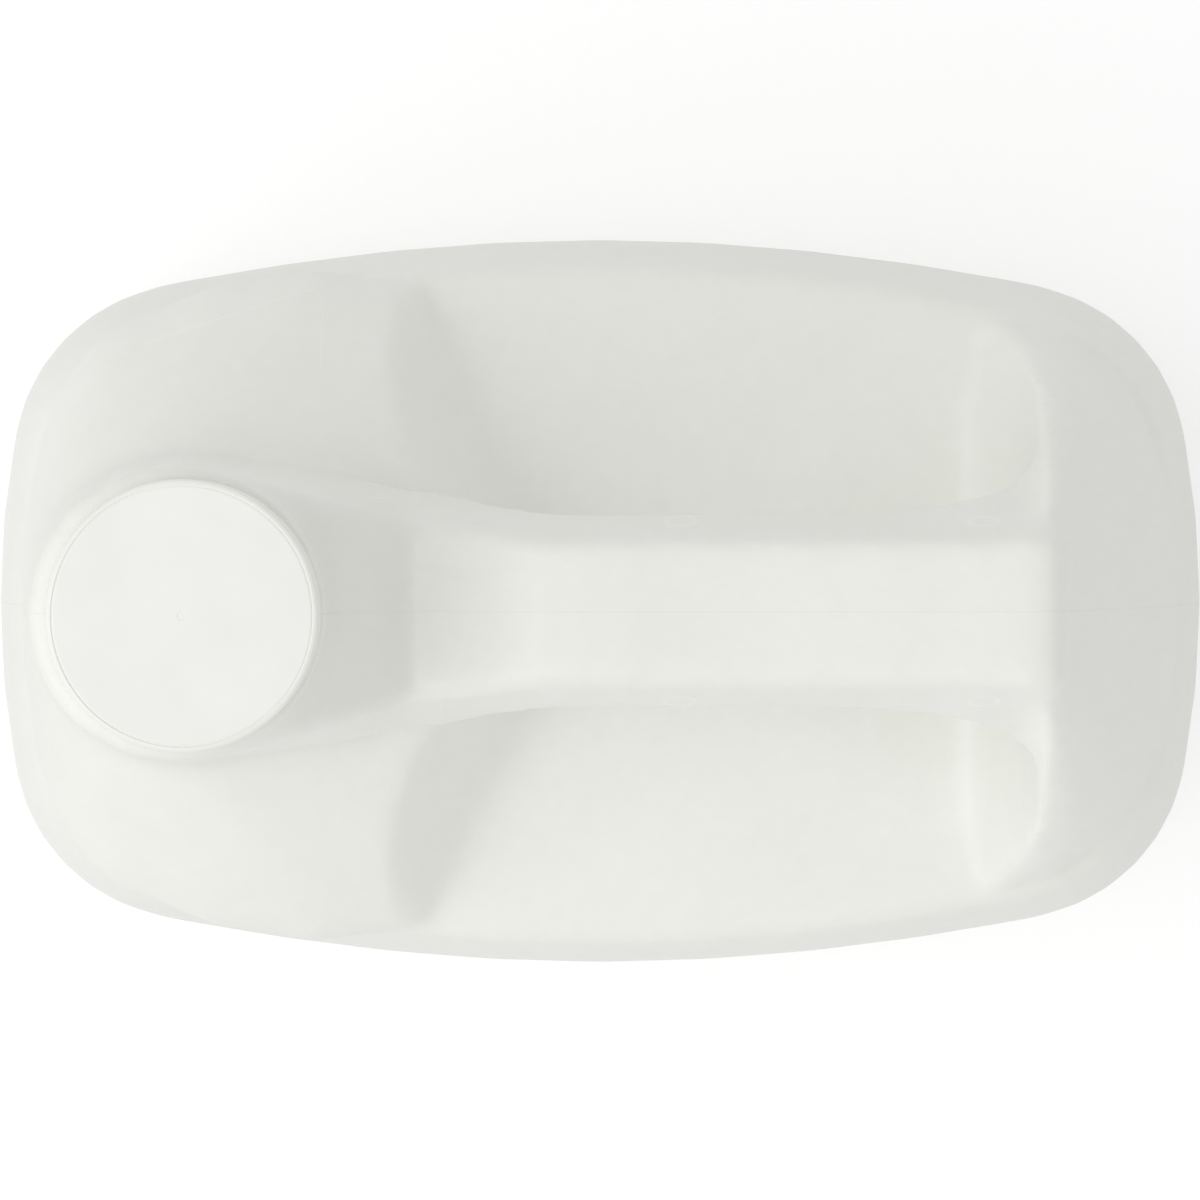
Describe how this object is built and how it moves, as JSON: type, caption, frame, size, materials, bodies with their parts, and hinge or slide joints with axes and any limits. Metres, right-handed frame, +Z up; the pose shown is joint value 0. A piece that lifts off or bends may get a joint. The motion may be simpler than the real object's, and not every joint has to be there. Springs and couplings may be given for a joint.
{
  "type": "disinfectant cleaner jug",
  "caption": "White one-gallon cleaner jug, blow-moulded, with a bar handle over a finger hole and an offset neck closed by a ribbed screw cap with a foam liner",
  "frame": {"origin": "middle of the body's plan, at the level that the jug stands on", "axes": "+X towards the hip at the handle's far end, away from the neck; +Y towards the back; +Z up along the neck's axis"},
  "size_m": [0.197, 0.12, 0.3046],
  "materials": {
    "jug_hdpe": "natural white blow-moulded polyethylene, satin, with a parting line and faint upright die lines",
    "cap_pp": "white moulded polypropylene, satin top and fine grip ribs",
    "liner_foam": "white polyethylene foam disc with a smooth skin"
  },
  "bodies": {
    "jug": {"jug": "jug_hdpe"},
    "liner": {"liner": "liner_foam"},
    "cap": {"cap": "cap_pp"}
  },
  "joints": [
    {"name": "cap_lift", "type": "slide", "parent": "jug", "child": "liner", "axis": [0, 0, 1], "range_m": [0, 0.022]},
    {"name": "cap_turn", "type": "hinge", "parent": "liner", "child": "cap", "pos_m": [-0.0626, 0, 0.2935], "axis": [0, 0, 1], "range_deg": [0, 1875]}
  ],
  "couplings": [
    {"joint": "cap_turn", "follows": "cap_lift", "rad_per_m": 1484.2}
  ]
}
